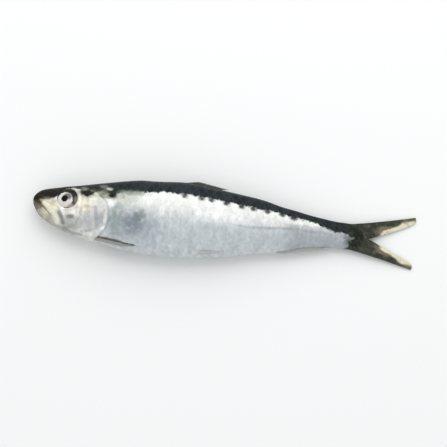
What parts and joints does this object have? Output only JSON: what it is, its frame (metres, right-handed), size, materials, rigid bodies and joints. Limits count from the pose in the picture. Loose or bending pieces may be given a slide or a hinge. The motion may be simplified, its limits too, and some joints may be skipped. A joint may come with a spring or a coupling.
{
  "type": "whole raw fish",
  "caption": "Whole raw silver fish lying on its side: dark back, bright flank, gill cover, round eye, closed mouth, folded fins and a deeply forked tail.",
  "frame": {"origin": "middle of the footprint, on the surface that the fish lies on", "axes": "-X towards the snout and +X towards the tail, +Y towards the back, +Z out of the left flank, which faces up"},
  "size_m": [0.193, 0.04, 0.0183],
  "materials": {
    "skin": "wet, silvery and scaled, blue-black along the back",
    "fins": "thin ribbed olive-grey fin membrane, slightly see-through in the real fish",
    "eye": "clear and wet over a pearly iris and a black pupil"
  },
  "bodies": {
    "root": {"fish": "skin"}
  },
  "joints": []
}
